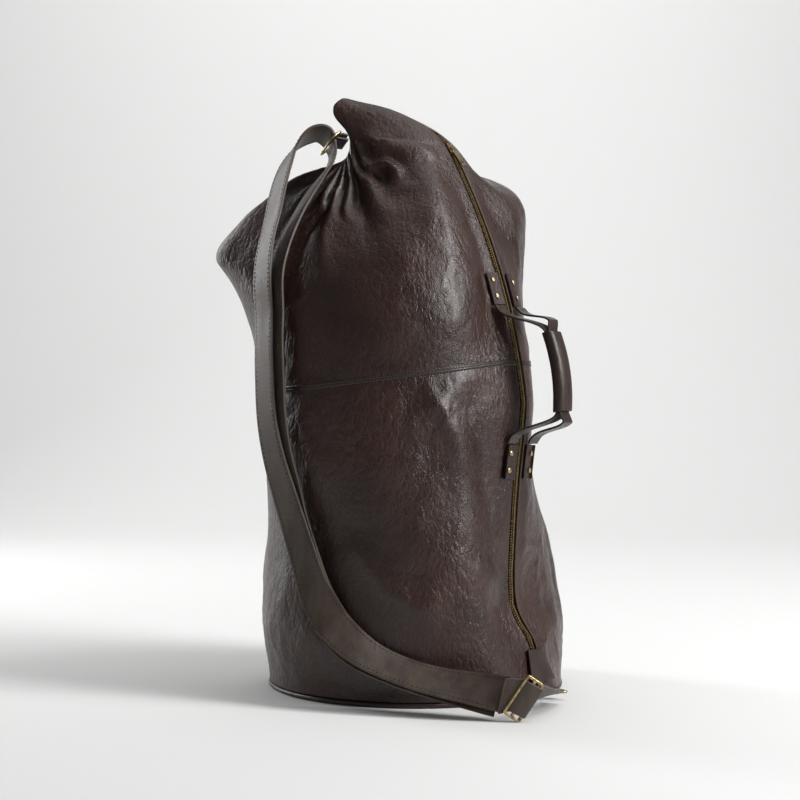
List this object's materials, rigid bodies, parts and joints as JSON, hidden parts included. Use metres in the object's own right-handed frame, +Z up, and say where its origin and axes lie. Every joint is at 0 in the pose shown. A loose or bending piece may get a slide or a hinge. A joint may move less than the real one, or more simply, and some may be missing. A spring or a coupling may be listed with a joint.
{
  "type": "leather duffel bag",
  "caption": "Tall round leather kit bag on a flat base, with a full-length side zip, a riveted carry handle, a gathered mouth and a long shoulder strap with ring and slide buckle.",
  "frame": {"origin": "centre of the base's underside, where the bag stands on the floor", "axes": "+Z up the bag, -Y the front that the shoulder strap crosses, +X the side of the bag that the zip and the carry handle are on"},
  "size_m": [0.3828, 0.3984, 0.6416],
  "materials": {
    "leather_body": "glossy dark reddish-brown pull-up leather",
    "leather_strap": "smooth taupe-brown strap leather, dark inner face",
    "brass": "aged pale brass",
    "zip_tape": "olive-brown woven zip tape",
    "base_board": "matt black-brown stiffening board"
  },
  "bodies": {
    "bag": {"base_board": "base_board", "base_chape": "leather_body", "base_disc": "leather_body", "base_welt": "leather_body", "handle_rivet_lower_back_1": "brass", "handle_rivet_lower_back_2": "brass", "handle_rivet_lower_front_1": "brass", "handle_rivet_lower_front_2": "brass", "handle_rivet_upper_back_1": "brass", "handle_rivet_upper_back_2": "brass", "handle_rivet_upper_front_1": "brass", "handle_rivet_upper_front_2": "brass", "handle_tab_lower_back": "leather_body", "handle_tab_lower_front": "leather_body", "handle_tab_upper_back": "leather_body", "handle_tab_upper_front": "leather_body", "lower_back_panel": "leather_body", "lower_front_panel": "leather_body", "shoulder_strap_back": "leather_strap", "shoulder_strap_end": "leather_strap", "shoulder_strap_front": "leather_strap", "top_chape": "leather_body", "upper_back_panel": "leather_body", "upper_front_panel": "leather_body", "zip_bottom_stop": "brass", "zip_end_patch": "leather_body", "zip_tape_back": "zip_tape", "zip_tape_front": "zip_tape", "zip_teeth_back": "brass", "zip_teeth_front": "brass", "zip_top_stop_back": "brass", "zip_top_stop_front": "brass"},
    "zip_slider": {"zip_slider": "brass"},
    "zip_puller": {"zip_puller": "brass"},
    "handle": {"handle_strap_front": "leather_body", "handle_strap_back": "leather_body", "handle_grip": "leather_body"},
    "top_ring": {"top_ring": "brass"},
    "base_ring": {"base_ring": "brass"},
    "slide_buckle": {"slide_buckle": "brass"}
  },
  "joints": [
    {"name": "zip_slide", "type": "hinge", "parent": "bag", "child": "zip_slider", "pos_m": [-0.45399, 0.36527, 0.19922], "axis": [0.6147, 0.7883, -0.0278], "range_deg": [0, 22.5]},
    {"name": "puller_flip", "type": "hinge", "parent": "zip_slider", "child": "zip_puller", "pos_m": [0.0414, -0.00748, 0.58455], "axis": [-0.6147, -0.7883, 0.0278], "range_deg": [-4, 165]},
    {"name": "handle_swing", "type": "hinge", "parent": "bag", "child": "handle", "pos_m": [0.11738, -0.07558, 0.33321], "axis": [-0.1272, 0.1338, 0.9828], "range_deg": [-65, 65], "deforming": ["handle_strap_front", "handle_strap_back"]},
    {"name": "top_ring_swing", "type": "hinge", "parent": "bag", "child": "top_ring", "pos_m": [-0.08673, -0.0212, 0.59162], "axis": [-0.3602, 0.8605, -0.3602], "range_deg": [-4, 15]},
    {"name": "base_ring_swing", "type": "hinge", "parent": "bag", "child": "base_ring", "pos_m": [0.14134, -0.10554, 0.00864], "axis": [0.9247, 0.3808, 0], "range_deg": [-15, 25]},
    {"name": "buckle_slide", "type": "slide", "parent": "bag", "child": "slide_buckle", "axis": [0.93, -0.34, -0.14], "range_m": [-0.03, 0], "deforming": ["shoulder_strap_end", "shoulder_strap_front", "shoulder_strap_back"]}
  ]
}
